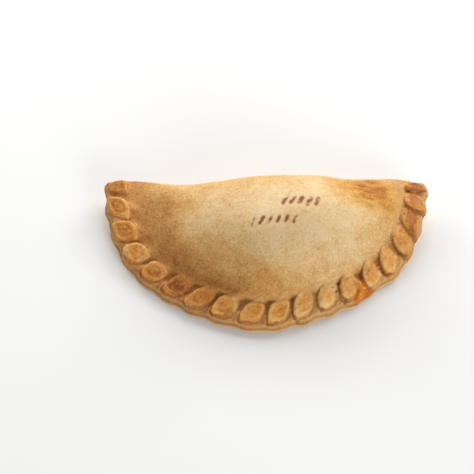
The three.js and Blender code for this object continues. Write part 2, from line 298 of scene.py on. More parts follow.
def on_rays(angle, r):
    """The plan points at these distances from the crown."""
    return CROWN[0] + r * np.cos(angle), CROWN[1] + r * np.sin(angle)


def reach(angle, inside):
    """Distance from the crown, along each ray, to where it leaves an outline, found by halving."""
    near = np.zeros_like(angle)
    far = np.full_like(angle, 2 * HALF_LENGTH)
    for _ in range(36):
        r = (near + far) / 2
        within = inside(*on_rays(angle, r))
        near = np.where(within, r, near)
        far = np.where(within, far, r)
    return near


def front_gradient(x, y):
    p, q = front_powers(x)
    across = p / HALF_LENGTH * signed_power(x / HALF_LENGTH, p - 1)
    return across, q / DEPTH * signed_power(np.minimum(y, 0) / DEPTH, q - 1)


def front_normal(x, y):
    """Outward direction of the front's superellipse: its gradient, made one long."""
    across, ahead = front_gradient(x, y)
    length = np.hypot(across, ahead) + 1e-12
    return across / length, ahead / length


def front_inset(x, y):
    """Roughly how far a point lies behind the front edge: 1 less the superellipse's sum, over its slope."""
    return (1 - superellipse(x, y)) / (np.hypot(*front_gradient(x, y)) + 1e-6)


def soft_min(a, b, radius):
    """The smaller of two distances, rounded off where they cross."""
    h = clamp(0.5 + (b - a) / (2 * radius))
    return mix(b, a, h) - radius * h * (1 - h)


# The front edge as a path from the right tip to the left tip: the superellipse by its turn, and the
# distance travelled along it.
edge_turn = np.linspace(0, math.pi, 601)
edge_powers = front_powers(np.cos(edge_turn))
edge_x = HALF_LENGTH * signed_power(np.cos(edge_turn), 2 / edge_powers[0])
edge_y = -DEPTH * np.abs(np.sin(edge_turn)) ** (2 / edge_powers[1])
edge_travel = np.concatenate([[0], np.cumsum(np.hypot(np.diff(edge_x), np.diff(edge_y)))])
EDGE_LENGTH = edge_travel[-1]


def travel_at(x, y):
    """How far along the edge a plan point lies, by its turn on the superellipse."""
    p, q = front_powers(x)
    across = signed_power(x / HALF_LENGTH, p / 2)
    ahead = np.abs(np.minimum(y, 0) / DEPTH) ** (q / 2)
    return np.interp(np.arctan2(ahead, across), edge_turn, edge_travel)


def place_pinches():
    """Distances travelled to the pinches: gaps that grow steadily to the left, small near the tips, each a
    little uneven."""
    gaps = []
    for i in range(1, PINCHES):
        from_tip = min(i, PINCHES - i) - 1
        gap = TIP_GAPS[from_tip] if from_tip < len(TIP_GAPS) else 1 + 0.02 * chance(i, 1)
        gap *= WIDER_GAPS.get(i, 1)
        gaps.append(gap * (1 + GAP_GROWTH * (2 * i / PINCHES - 1)))
    travel = np.concatenate([[0], np.cumsum(gaps)])
    return FIRST_PINCH + travel * (EDGE_LENGTH - 2 * FIRST_PINCH) / travel[-1]


pinch_travel = place_pinches()


def pinch_count(travelled):
    """The pinch number at some travel, with fractions between them and beyond the last ones."""
    inner = np.interp(travelled, pinch_travel, np.arange(PINCHES))
    before = (travelled - pinch_travel[0]) / (pinch_travel[1] - pinch_travel[0])
    after = PINCHES - 1 + (travelled - pinch_travel[-1]) / (pinch_travel[-1] - pinch_travel[-2])
    inner = np.where(travelled < pinch_travel[0], before, inner)
    return np.where(travelled > pinch_travel[-1], after, inner)


# ---- Heights ----


def lumps(x, y):
    """Unevenness of the filling: a product of two sines and a slanted third one."""
    broad = np.sin(x / 8.5 + 1.1) * np.sin(y / 7.5 + 0.6)
    return LUMPS * (broad + 0.6 * np.sin(x / 5.2 - y / 6.4 + 2.3))


def crest(x):
    """Height of the crest above the foot: (1 - share squared) to a power, from the crown to a tip."""
    on_left = x < CROWN[0]
    share = clamp((x - CROWN[0]) / (np.where(on_left, -1, 1) * SEAM_HALF_LENGTH - CROWN[0]))
    return (CROWN[2] - FOOT) * (1 - share**2) ** np.where(on_left, *CREST_FULLNESS)


def dome_height(x, y):
    """Height of the dome. Each slice across is one arch: (1 - w squared) to a power from the seam to the
    crest, then a quarter ellipse from the crest to the fold, where it stands upright."""
    p, q = front_powers(x)
    front = -SEAM_DEPTH * np.maximum(0, 1 - np.abs(x / SEAM_HALF_LENGTH) ** p) ** (1 / q)
    across = clamp((y - front) / np.maximum(0.01, fold_line(x) - front))
    middle = 1 + CROWN[1] / SEAM_DEPTH
    rising = (1 - (1 - np.minimum(1, across / middle)) ** 2) ** FRONT_FULLNESS
    fallen = clamp((across - middle) / (1 - middle))
    falling = mix(FOLD_SHARE, 1, np.sqrt(1 - fallen**2))
    return FOOT + crest(x) * np.where(across < middle, rising, falling)


def tip_curl(points):
    """How far the tips are swept back and lifted here, by a smooth step in x times one in y."""
    x, y = points[:, 0], points[:, 1]
    bend = smooth((np.abs(x) - TIP_ZONE["x"]) / TIP_ZONE["across"])
    bend = bend * smooth((y - TIP_ZONE["y"]) / TIP_ZONE["along"])
    sweep, lift = (np.where(x < 0, tip["left"], tip["right"]) for tip in (TIP_SWEEP, TIP_LIFT))
    return np.stack([0 * x, sweep * bend, lift * bend], axis=1)


def uncurl_tips(points):
    """Takes the curl out again, by a few rounds of subtracting the last guess's own curl."""
    flat = points.copy()
    for _ in range(4):
        flat = points - tip_curl(flat)
    return flat


# ---- Surfaces ----


def closed_grid(grid, low_pole, high_pole):
    """Points, quads and triangles of a closed surface: the rings of a grid between two poles."""
    rings, around = grid.shape[:2]
    points = np.concatenate([low_pole[None], grid.reshape(-1, 3), high_pole[None]])
    at = 1 + np.arange(rings)[:, None] * around + np.arange(around)[None, :]
    after = np.roll(at, -1, axis=1)
    quads = np.stack([at[:-1], after[:-1], after[1:], at[1:]], axis=-1).reshape(-1, 4)
    low = np.stack([np.zeros(around, int), after[0], at[0]], axis=-1)
    high = np.stack([at[-1], after[-1], np.full(around, len(points) - 1)], axis=-1)
    return points, quads, np.concatenate([low, high])


def ray_angles(count):
    """Ray directions spaced evenly along the finished outline."""
    angle = np.linspace(0, 2 * math.pi, 6001)
    r = np.minimum(reach(angle, inside_front), reach(angle, inside_fold))
    stride = np.hypot(np.diff(r * np.cos(angle)), np.diff(r * np.sin(angle)))
    travelled = np.concatenate([[0], np.cumsum(stride)])
    return np.interp(np.arange(count) / count * travelled[-1], travelled, angle)


def along_edge(sizes, along):
    """A pinch size at a share of the way from the right tip: the tips' own there, and between them from the
    right one's to the left one's."""
    frontal = smooth(np.sin(math.pi * clamp(along)) ** 1.3)
    return mix(sizes["tips"], mix(sizes["right"], sizes["left"], along), frontal)


def slanted_count(count, inset):
    """The pinch number where the pinches' slant has carried it to, at some distance behind the edge."""
    along = clamp(np.interp(count, np.arange(PINCHES), pinch_travel) / EDGE_LENGTH)
    gap = EDGE_LENGTH / (PINCHES - 1)
    return count + PINCH_SHEAR["usual"] * (inset - along_edge(PINCH_INSET, along)) / gap


def scallops(count):
    """How far the rim's edge stands out: a cosine with one wave to a pinch, less one narrow bell."""
    notch = NOTCH["depth"] * band(count, NOTCH["count"], NOTCH["reach"])
    return SCALLOP * np.cos(2 * math.pi * (count - SCALLOP_SHIFT)) - notch


def gap_bell(count, inset, form):
    """1 in the middle of each gap between two pinches, at the form's distance behind the edge, and falling
    off as a bell along the edge and across the rim."""
    off = np.abs(slanted_count(count, inset) % 1 - 0.5)
    across = (inset - form["inset"]) / form["reach"]
    return np.exp(-((off / form["width"]) ** 2) - across**2) * (count > 0.5) * (count < PINCHES - 1.5)


def gap_pocket(count, inset):
    """The bell of the holes behind the ridges. The sauce has filled its own."""
    return gap_bell(count, inset, GAP_POCKET) * (np.abs(count - SAUCE_GAP + 0.5) > 0.6)


def gap_relief(count, inset):
    """Height added between the pinches: a low ridge of dough near the edge, and a hole behind it."""
    ridge = GAP_RIDGE["height"] * gap_bell(count, inset, GAP_RIDGE)
    return ridge - GAP_POCKET["depth"] * gap_pocket(count, inset)


def pastry_body(rays=900, dome=56, top=26, edge=24, under=13):
    """The folded dough without its pinches. A section along each ray from the crown: over the dome to the
    seam or the fold, out over the rim or down the fold, round the edge, and underneath to the middle."""
    angle = ray_angles(rays)

    def rows(start, end, number):
        return np.linspace(start, end, number + 1)[1:, None]

    front, fold = reach(angle, inside_front), reach(angle, inside_fold)
    count = pinch_count(travel_at(*on_rays(angle, front)))
    seam = np.minimum(reach(angle, inside_seam), fold)
    fold_share = 1 - smooth((np.minimum(front, fold) - seam) / TIP_CORNER["fade"])
    scallop = scallops(count) * (1 - fold_share)
    rim_edge = soft_min(front + scallop, fold, TIP_CORNER["radius"])
    lobe = SEAM_LOBE * np.cos(2 * math.pi * (count - 0.5)) * (1 - fold_share)
    rim_end = rim_edge - SHEET_ROUND
    inset = np.minimum(FOLD_UNDER, 0.5 * rim_edge)
    fold_x = on_rays(angle, rim_edge)[0]
    fold_middle = dome_height(fold_x, fold_line(fold_x))

    def fold_under(t):
        turn = clamp((t - 1) / 2.5) * math.pi / 2
        return rim_edge - inset * (1 - np.cos(turn)), mix(fold_middle, -UNDER_SAG, np.sin(turn))

    def mixed(at_rim, at_fold):
        return (mix(a, b, fold_share) for a, b in zip(at_rim, at_fold))

    share = np.sin(rows(0, 1, dome) * math.pi / 2)
    r = seam * share
    dome_r = r + lobe * smooth((share - 0.9) / 0.1)
    dome_z = dome_height(*on_rays(angle, r)) + gap_relief(count, front - dome_r)

    t = rows(1, 2, top)
    flat_r = mix(seam + lobe, rim_end - LIP_STEP, t - 1)
    flat_z = RIM_TOP + RIM_RISE * (2 - t) ** 2 + gap_relief(count, front - flat_r)
    top_r, top_z = mixed((flat_r, flat_z), fold_under(t))

    t = rows(2, 3, edge)
    upper = t <= 2.5
    turn = np.where(upper, t - 2, t - 2.5) * 2 * math.pi
    sheet_end = np.where(upper, rim_end - LIP_STEP, rim_end)
    sheet_z = np.where(upper, RIM_TOP - SHEET_ROUND, RIM_GAP + SHEET_ROUND)
    lip = (sheet_end + SHEET_ROUND * np.sin(turn), sheet_z + SHEET_ROUND * np.cos(turn))
    edge_r, edge_z = mixed(lip, fold_under(t))

    t = rows(3, 3.5, under)
    inwards = (t - 3) * 2
    rim_under = (rim_end - UNDER_REACH * inwards, mix(RIM_GAP, -UNDER_SAG, smooth(inwards)))
    under_r, under_z = mixed(rim_under, fold_under(t))

    left = 1 - rows(0, 1, under)[:-1]
    base_r = mix((rim_end - UNDER_REACH) * left, (rim_edge - inset) * left, fold_share)
    base_z = 0 * base_r - UNDER_SAG

    r = np.concatenate([dome_r, top_r, edge_r, under_r, base_r])
    z = np.concatenate([dome_z, top_z, edge_z, under_z, base_z])
    x, y = on_rays(angle, r)
    above = (np.arange(len(r)) < dome + top)[:, None]
    z = z + np.where(above, lumps(x, y) * smooth((z - FOOT) / 10), 0)
    low = np.array([*CROWN[:2], -UNDER_SAG])
    high = np.array([*CROWN[:2], CROWN[2] + lumps(*CROWN[:2])])
    return closed_grid(np.stack([x, y, z], axis=-1)[::-1], low, high)


def pinch_facts(index):
    """One pinch's place, direction and sizes, as in the solid. It is wholly of the rope's kind where front
    is 0, and of the front's where it is 1. The last four are for its relief and colour."""
    tip = index in (0, PINCHES - 1)
    along = pinch_travel[index] / EDGE_LENGTH
    front = smooth((along - ROPE["end"]) / ROPE["fade"])
    inset = along_edge(PINCH_INSET, along)
    x, y = (np.interp(pinch_travel[index], edge_travel, path) for path in (edge_x, edge_y))
    nx, ny = front_normal(x, y)
    half_depth = TIP_PINCH["half_depth"] if tip else PINCH_HALF_DEPTH
    half_width = TIP_PINCH["half_width"] if tip else along_edge(PINCH_HALF_WIDTH, along)
    return {
        "centre": (x - nx * inset, y - ny * inset),
        "normal": (nx, ny),
        "half_depth": half_depth * (1 + 0.04 * chance(index, 3)),
        "half_width": half_width * (1 + 0.06 * chance(index, 2)),
        "shear": 0.0 if tip else PINCH_SHEAR["usual"] + PINCH_SHEAR["spread"] * chance(index, 1601),
        "thick": (TIP_PINCH["thick"] if tip else PINCH_THICK) * (1 + 0.07 * chance(index, 5)),
        "roll": of_kind(PINCH_ROLL_SLOPE, front) * (1 + 0.3 * chance(index, 6)),
        "dish": of_kind(PINCH_DISH, front) * (1 + 0.4 * chance(index, 7)),
        "corner": of_kind(PINCH_CORNER_POWER, front),
        "front": front,
        "fold_at": 0.5 * chance(index, 41),
        "fold_depth": max(0.0, chance(index, 43) + 0.3),
        "pressed": 0.75 + 0.25 * chance(index, 47),
        "brown": EACH_PINCH_BROWN[index],
    }


pinches = [pinch_facts(index) for index in range(PINCHES)]


def pinch_pillow(index, rings=26, around=72):
    """One pinch: a pillow whose outline is a slanted superellipse, with a rounded side. It is higher on
    the side of the dome and of the left tip. Its top is hollow on the front and swollen on the rope."""
    p = pinches[index]
    rises = np.linspace(-math.pi / 2, math.pi / 2, rings + 2)[1:-1, None]
    turns = -2 * math.pi * np.arange(around)[None, :] / around

    def place(spread, turn, rise):
        wobble = 1 + PINCH_WOBBLE * (np.sin(2 * turn + 2.1 * index) + np.sin(3 * turn + 1.3 * index))
        inwards = p["half_depth"] * spread * wobble * signed_power(np.cos(turn), 2 / p["corner"])
        sideways = p["half_width"] * spread * wobble * signed_power(np.sin(turn), 2 / p["corner"])
        rightwards = sideways + p["shear"] * inwards
        height = signed_power(np.sin(rise), PINCH_EDGE_POWER)
        dish = np.where(rise > 0, p["dish"] * (1 - smooth((spread - 0.45) / 0.42)), 0)
        z = np.where(height > 0, p["thick"], PINCH_ROOT) * height - dish
        z = z + PINCH_PITCH_SLOPE * inwards - p["roll"] * rightwards + RIM_TOP + RIM_RISE / 2
        (cx, cy), (nx, ny) = p["centre"], p["normal"]
        x = cx - nx * inwards - ny * rightwards
        y = cy - ny * inwards + nx * rightwards
        return np.stack(np.broadcast_arrays(x, y, z), axis=-1)

    low, high = (place(0.0, 0.0, pole) for pole in (-math.pi / 2, math.pi / 2))
    return closed_grid(place(np.cos(rises) ** PINCH_EDGE_POWER, turns, rises), low, high)


def join_surfaces(surfaces):
    """One mesh's points and faces from several closed surfaces."""
    points, faces, start = [], [], 0
    for own, quads, triangles in surfaces:
        points.append(own)
        faces += (quads + start).tolist() + (triangles + start).tolist()
        start += len(own)
    return np.concatenate(points), faces


# ---- Working on the joined mesh ----


def placed(name, data):
    """A new object in the scene."""
    thing = bpy.data.objects.new(name, data)
    bpy.context.scene.collection.objects.link(thing)
    return thing


def rows_of(items, name, width, kind=np.float32):
    """One property of all points or edges, a row for each."""
    flat = np.empty(len(items) * width, kind)
    items.foreach_get(name, flat)
    return flat.reshape(-1, width)


def mesh_points(mesh):
    return rows_of(mesh.vertices, "co", 3).astype(float)


def mesh_normals(mesh):
    return rows_of(mesh.vertex_normals, "vector", 3).astype(float)


def mesh_edges(mesh):
    return rows_of(mesh.edges, "vertices", 2, np.int32)


def set_points(mesh, points):
    mesh.vertices.foreach_set("co", points.astype(np.float32).ravel())
    mesh.update()


def neighbour_mean(values, edges):
    """Mean of each point's neighbours, from sums over the edges."""
    count = np.bincount(edges.ravel(), minlength=len(values)).astype(float)
    columns = values if values.ndim == 2 else values[:, None]
    total = np.zeros(columns.shape)
    for own, other in (edges.T, edges.T[::-1]):
        for k in range(columns.shape[1]):
            total[:, k] += np.bincount(own, columns[other, k], minlength=len(values))
    mean = total / np.maximum(count, 1)[:, None]
    return mean if values.ndim == 2 else mean[:, 0]


def relax(values, edges, rounds, share=0.5):
    """Moves each value towards its neighbours' mean, round after round."""
    for _ in range(rounds):
        values = mix(values, neighbour_mean(values, edges), share)
    return values


def hollowness(place, normals, edges, rounds):
    """How far each point lies under the mean of those around it, in millimetres: less than 0 if raised."""
    return np.einsum("ij,ij->i", relax(place, edges, rounds) - place, normals) / MM


def remeshed(points, faces, voxel):
    """The outer skin of overlapping closed surfaces, as one even mesh."""
    mesh = bpy.data.meshes.new("dough")
    mesh.from_pydata((points * MM).tolist(), [], faces)
    mesh.update()
    rough = placed("dough", mesh)
    modifier = rough.modifiers.new("skin", "REMESH")
    modifier.mode = "VOXEL"
    modifier.voxel_size = voxel * MM
    modifier.use_smooth_shade = True
    graph = bpy.context.evaluated_depsgraph_get()
    skin = bpy.data.meshes.new_from_object(rough.evaluated_get(graph))
    bpy.data.objects.remove(rough)
    bpy.data.meshes.remove(mesh)
    return skin


def joined_dough():
    """Body and pinches under one skin, set over the solid's middle, relaxed and a little sharpened again.
    Gives the mesh, its points and how far it was moved."""
    surfaces = [pastry_body()] + [pinch_pillow(index) for index in range(PINCHES)]
    surfaces = [(points + tip_curl(points), quads, triangles) for points, quads, triangles in surfaces]
    points, faces = join_surfaces(surfaces)
    solid_middle = np.mean(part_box("empanada"), axis=0) / MM
    shift = solid_middle - (points.min(axis=0) + points.max(axis=0)) / 2
    shift[2] = 0
    mesh = remeshed(points + shift, faces, VOXEL * (1))
    edges = mesh_edges(mesh)
    place = relax(relax(mesh_points(mesh), edges, SKIN["relaxed"]), edges, 1, SKIN["sharpened"])
    set_points(mesh, place)
    normals = mesh_normals(mesh)
    too_deep = np.maximum(0, hollowness(place, normals, edges, GROOVE["rounds"]) - GROOVE["usual"])
    place = place + normals * (GROOVE["filled"] * too_deep * MM)[:, None]
    set_points(mesh, place)
    return mesh, place, shift


# ---- Where each point of the dough lies ----


def nearest_pinch(plan):
    """For each point, the smallest of its sizes in the pinches' own superellipses (1 on the outline), that
    pinch's number, and the point's place in it: inwards in half depths, to the right in half widths. Last,
    1 on the left edge of any of the rope's pinches, which lies over the next one."""
    best = np.full(len(plan), 9.0)
    number = np.zeros(len(plan), int)
    inward, right, left_edge = np.zeros((3, len(plan)))
    for index, p in enumerate(pinches):
        dx, dy = plan[:, 0] - p["centre"][0], plan[:, 1] - p["centre"][1]
        nx, ny = p["normal"]
        inwards = -(dx * nx + dy * ny)
        sideways = -dx * ny + dy * nx - p["shear"] * inwards
        a, b = inwards / p["half_depth"], sideways / p["half_width"]
        size = (np.abs(a) ** p["corner"] + np.abs(b) ** p["corner"]) ** (1 / p["corner"])
        nearer = size < best
        best = np.where(nearer, size, best)
        number = np.where(nearer, index, number)
        inward, right = np.where(nearer, a, inward), np.where(nearer, b, right)
        own_edge = band(size, 0.99, 0.085) * step(b, 0, -0.6) * (1 - p["front"])
        left_edge = np.maximum(left_edge, own_edge)
    return best, number, inward, right, left_edge


class OnDough:
    """Where each point lies, in the plan frame with the tips laid flat again.

    facing_up is the height of its normal, and from_pinch to left_edge are what nearest_pinch gives. count
    is the pinch number there, with fractions, and inset its distance behind the rim's edge. The rest are
    shares from 0 to 1: of the front's kind of pinch, of each part of the pastry, of the left half, and of
    the left of the front. On these last two the crust is darker, partly browning and partly painted shade."""

    def __init__(self, place, normals, shift):
        self.flat = uncurl_tips(place / MM - shift)
        self.x, self.y, self.z = self.flat.T
        self.facing_up = normals[:, 2]
        self.from_pinch, self.number, self.inward, self.right, self.left_edge = nearest_pinch(self.flat)
        self.count = pinch_count(travel_at(self.x, self.y))
        self.inset = front_inset(self.x, self.y) + scallops(self.count)
        self.front = self.of_pinch("front")
        self.on_top = step(self.facing_up, -0.1, 0.3)
        self.underneath = step(self.facing_up, -0.2, -0.7)
        self.on_pinch = step(self.from_pinch, 1.05, 0.85) * step(self.z, RIM_TOP + 0.6, RIM_TOP + 1.4)
        self.on_dome = step(self.z, FOOT + 1.5, FOOT + 5.5) * (1 - self.on_pinch)
        self.on_rim = (1 - self.on_dome) * (1 - self.on_pinch) * (1 - self.underneath)
        # The left, and the left of the front: shares where browning and painted shade are added together.
        self.leftwards = step(self.x, 10, -40)
        self.sheltered = step(self.x, 10, -28) * (1 - 0.7 * step(self.x, -28, -52))

    def of_pinch(self, fact):
        """One fact of each point's own pinch."""
        return np.array([p[fact] for p in pinches])[self.number]


# ---- Relief of the crust ----


def unevenness(at):
    """Patterns that relief and browning both follow. The dome has dimples. The pinches have creases,
    wrinkles drawn out across them and whorls round their middles. Some have one wavy fold across."""
    dimples = cell_noise(at.flat, 7.0, 1) + 0.5 * cell_noise(at.flat, 3.2, 2)
    creases = cell_noise(at.flat * (1, 1, 0.4), 1.7, 3) + 0.4 * cell_noise(at.flat, 0.9, 4)
    drawn_out = np.stack([3.4 * at.inward, 1.6 * at.right, 7.0 * at.number], axis=1)
    wrinkles = band(cell_noise(drawn_out, 1.3, 12), 0, 0.12) * (1 - 0.6 * at.front)
    whorls = np.sin(2 * math.pi * (3.4 * at.from_pinch + 1.2 * cell_noise(at.flat, 2.6, 9)))
    whorls *= step(at.from_pinch, 0.88, 0.68)
    from_fold = at.inward - at.of_pinch("fold_at") - 0.2 * at.right - 0.12 * np.sin(4 * at.right)
    fold = band(from_fold, 0, 0.17) * at.of_pinch("fold_depth") * step(np.abs(at.right), 0.9, 0.7)
    return {"dimples": dimples, "creases": creases, "wrinkles": wrinkles, "whorls": whorls, "fold": fold}


def toasted_marks(at):
    """Two short rows of slanted dashes on the dome. Each is a rounded bar, e to the minus the fourth power
    of its length and the square of its width, faded by its own chance and a little broken up."""
    marks = np.zeros(len(at.flat))
    for row, facts in enumerate(MARK_ROWS):
        length, width = MARK["length"] * facts["size"], MARK["width"] * facts["size"]
        for k in range(facts["count"]):
            seed = 10 * row + k
            cx = facts["at"][0] + (k - (facts["count"] - 1) / 2) * MARK["step"]
            cy = facts["at"][1] + 0.5 * chance(seed, 21)
            lean = MARK["lean"] + 0.15 * chance(seed, 22)
            dx, dy = at.x - cx, at.y - cy
            along = dy * math.cos(lean) + dx * math.sin(lean)
            aside = dx * math.cos(lean) - dy * math.sin(lean)
            bar = np.exp(-((along / length) ** 4) - (aside / width) ** 2)
            marks = np.maximum(marks, bar * (0.8 + 0.2 * chance(seed, 23)))
    return marks * at.on_dome * clamp(0.75 + 0.5 * cell_noise(at.flat, 1.1, 6))


def run_of_sauce(at, edges):
    """The sauce that boiled out of one gap, from 0 to 1. It is wider at the edge and lies low."""
    from_gap = np.abs(slanted_count(at.count, at.inset) - SAUCE_GAP + 0.5)
    half_width = mix(SAUCE_HALF_WIDTH["edge"], SAUCE_HALF_WIDTH["inner"], step(at.inset, 2, 8))
    run = np.exp(-((from_gap / half_width) ** 4)) * step(at.z, FOOT + 2.5, FOOT + 1)
    run *= at.on_top * (1 - 0.8 * at.on_pinch)
    return relax(clamp(run * (0.9 + 0.5 * cell_noise(at.flat, 2.0, 8))), edges, 3)


def fine_relief(at, uneven, marks, sauce):
    """Height of the fine relief, in millimetres along the normals."""
    return weighted(
        RELIEF,
        dimples=uneven["dimples"] * at.on_dome,
        creases=uneven["creases"] * at.on_pinch,
        wrinkles=uneven["wrinkles"] * at.on_pinch,
        whorls=uneven["whorls"] * at.front * at.on_pinch,
        fold=uneven["fold"] * at.on_pinch,
        grain=cell_noise(at.flat, 0.8, 5) * (1 - at.underneath),
        rim=cell_noise(at.flat, 1.8, 7) * at.on_rim,
        marks=marks,
        sauce=sauce,
    )


# ---- Colour of the crust ----


def rim_lips(at):
    """1 on the rounded edge of the rim's lower sheet, and 1 on that of its upper one."""
    lower = band(at.z, 1.1, 0.7) * step(at.inset, 1.4, 0.9) * (1 - at.underneath)
    upper = band(at.z, 3.9, 0.5) * step(at.inset, 2.4, 1.8) * (1 - at.underneath)
    return lower, upper


def dome_brown(at, dimples):
    """The dome is pale on top and browner along the fold. Low down in front it is darker, partly browning
    and partly painted shade, and more so near the foot in the left of the front. It has a streaky patch
    near each tip."""
    patch = bell(at.x, at.y, GOLDEN_PATCH) + LEFT_PATCH * bell(-at.x, at.y, GOLDEN_PATCH)
    streaks = cell_noise(at.flat * (0.35, 1.4, 0.35), 2.6, 14)
    streaks += cell_noise(at.flat * (0.3, 1.6, 0.3), 1.4, 16)
    ahead = step(at.y, 0, -16)
    return weighted(
        DOME_BROWN,
        everywhere=1,
        dimples=dimples,
        patch=patch,
        streaks=streaks * patch,
        pale_streak=bell(at.x, at.y, PALE_STREAK),
        left_shoulder=step(at.x, -12, -32) * step(at.z, FOOT + 6, FOOT + 14),
        low_down=step(at.z, FOOT + 30, FOOT + 9) * ahead * mix(0.4, 1, step(at.x, 30, -10)),
        near_foot=step(at.z, FOOT + 13, FOOT + 1) * ahead * at.sheltered,
        fold=step(at.y, -17, -2),
    )


def pinch_brown(at, uneven):
    """Each pinch has its own browning, and more in its middle and its folds. The right tip is toasted."""
    middle = step(at.from_pinch, 0.95, 0.35)
    brown = of_kind(PINCH_EDGE_BROWN, at.front) + of_kind(PINCH_MIDDLE_BROWN, at.front) * middle
    return brown + at.of_pinch("brown") + weighted(
        PINCH_BROWN,
        creases=uneven["creases"],
        fold=uneven["fold"],
        wrinkles=uneven["wrinkles"],
        leftwards=at.leftwards,
        right_tip=step(at.x, 54.5, 61.5),
    )


def rim_brown(at, lower_lip, upper_lip):
    """The rim is browner towards its edge, and paler beside the pinches and on its lips."""
    beside_pinch = step(at.from_pinch, 1.4, 1.15)
    brown = mix(RIM_BROWN["inner"], RIM_BROWN["outer"], step(at.inset, 5.5, 3.5))
    return brown * (1 - 0.25 * beside_pinch) + weighted(
        RIM_CHANGE,
        leftwards=at.leftwards,
        sheltered=at.sheltered,
        gap_dough=gap_bell(at.count, at.inset, GAP_PALE) * (1 - at.on_pinch) * (1 - at.underneath),
        lower_lip=lower_lip,
        upper_lip=upper_lip,
    )


def browning(at, uneven, lips, hollow):
    """The parts' own browning together. What stands proud on the top is a little paler, as a painted
    highlight.
    """
    brown = dome_brown(at, uneven["dimples"]) * at.on_dome
    brown += pinch_brown(at, uneven) * at.on_pinch
    brown += rim_brown(at, *lips) * at.on_rim
    # A painted highlight: what stands proud on the top is made paler.
    raised = step(hollow(7), -0.02, -0.18) * (1 - at.underneath)
    return clamp(brown + UNDERSIDE_BROWN * at.underneath + RAISED_BROWN * raised * at.on_top)


def crevices(at, creases, hollow, edges):
    """Painted shade, from 0 to 1: dark lines in narrow grooves and wide hollows, fainter inside the
    pinches, in the holes between the pinches, under the left edges of the rope's pinches, and in the seam
    between the rim's sheets."""
    groove = of_kind(DARK_GROOVE, at.front) * step(hollow(3), 0.035, 0.165)
    dark = np.maximum(groove, DARK_HOLLOW * step(hollow(8), 0.08, 0.38)) * (1 - at.underneath)
    dark *= 1 - mix(0.2, 0.75, at.front) * step(at.from_pinch, 0.9, 0.75)
    hole = gap_pocket(at.count, at.inset) * (1 - at.on_pinch) * at.on_top
    seam = band(at.z - 0.3 * creases, 2.5, 0.32) * step(at.inset, 2.0, 1.5)
    seam *= (1 - at.on_pinch) * clamp(0.5 + 0.7 * cell_noise(at.flat, 6.0, 15))
    lines = {"hole": hole, "left_edge": at.left_edge * at.on_top, "seam": seam}
    for name, share in DARK.items():
        dark = np.maximum(dark, share * lines[name])
    return relax(dark, edges, 1)


def pinch_outlines(at):
    """How dark the painted shade line round each pinch is: most on its left, less on the side of the edge.
    It fades out where the pinch runs up the dome."""
    left, outer = step(at.right, 0, -1), step(at.inward, 0, -1)
    dark = OUTLINE["everywhere"] + of_kind(OUTLINE["left"], at.front) * left + OUTLINE["outer"] * outer
    top = FOOT + 5 - 2 * at.front
    in_reach = step(at.from_pinch, 0.7, 0.9) * step(at.z, top, top - 2) * at.on_top
    return np.minimum(dark, OUTLINE["most"]) * in_reach


def golden_tint(at, lower_lip):
    """How much the browning is golden instead of tan."""
    golden = at.on_pinch * of_kind(GOLDEN["pinch"], at.front) * (1 - 0.3 * at.leftwards)
    return golden + GOLDEN["rim"] * (1 - at.on_pinch) * (1 - at.on_dome) * (1 - lower_lip)


def flour_tint(at, lower_lip):
    """How dull and floury the rim is: most on its side, and more on the right than on the left."""
    side = step(at.inset, 3.2, 2.0) * (1 - step(at.facing_up, 0.3, 0.9))
    flour = np.maximum(mix(FLOUR["left"], FLOUR["right"], step(at.x, 5, 19)), FLOUR["side"] * side)
    return flour * (1 - 0.8 * lower_lip) * at.on_rim


def make_crust():
    """The joined dough, moved out along its normals by the fine relief and kept above the ground, with what
    its colour follows as attributes."""
    mesh, place, shift = joined_dough()
    mesh.name = "empanada_crust"
    edges, normals = mesh_edges(mesh), mesh_normals(mesh)
    at = OnDough(place, normals, shift)
    uneven = unevenness(at)
    marks = toasted_marks(at)
    sauce = run_of_sauce(at, edges)
    place = place + normals * (fine_relief(at, uneven, marks, sauce) * MM)[:, None]
    place[:, 2] = np.maximum(place[:, 2], 0)
    set_points(mesh, place)
    hollow = partial(hollowness, place, mesh_normals(mesh), edges)
    lips = rim_lips(at)
    colour = {
        "browning": browning(at, uneven, lips, hollow),
        "crevice": crevices(at, uneven["creases"], hollow, edges),
        "outline": pinch_outlines(at),
        "from_pinch": np.minimum(at.from_pinch, 2),
        "on_pinch": at.on_pinch,
        "bead": at.on_pinch * of_kind(BEAD, at.front) * at.of_pinch("pressed"),
        "golden": golden_tint(at, lips[0]),
        "flour": flour_tint(at, lips[0]),
        "amber": clamp(1.4 * bell(at.x, at.y, GOLDEN_PATCH) - 0.15) * at.on_dome,
        "marks": marks,
        "sauce": sauce,
        "underneath": at.underneath,
    }
    for name, values in colour.items():
        attribute = mesh.attributes.new(name, "FLOAT", "POINT")
        attribute.data.foreach_set("value", values.astype(np.float32))

    return placed("empanada_crust", mesh)


# ---- Materials ----


def srgb(red, green, blue):
    """A linear colour from the usual 0 to 255 values."""

    def linear(v):
        v /= 255
        return v / 12.92 if v <= 0.04045 else ((v + 0.055) / 1.055) ** 2.4

    return (linear(red), linear(green), linear(blue), 1.0)


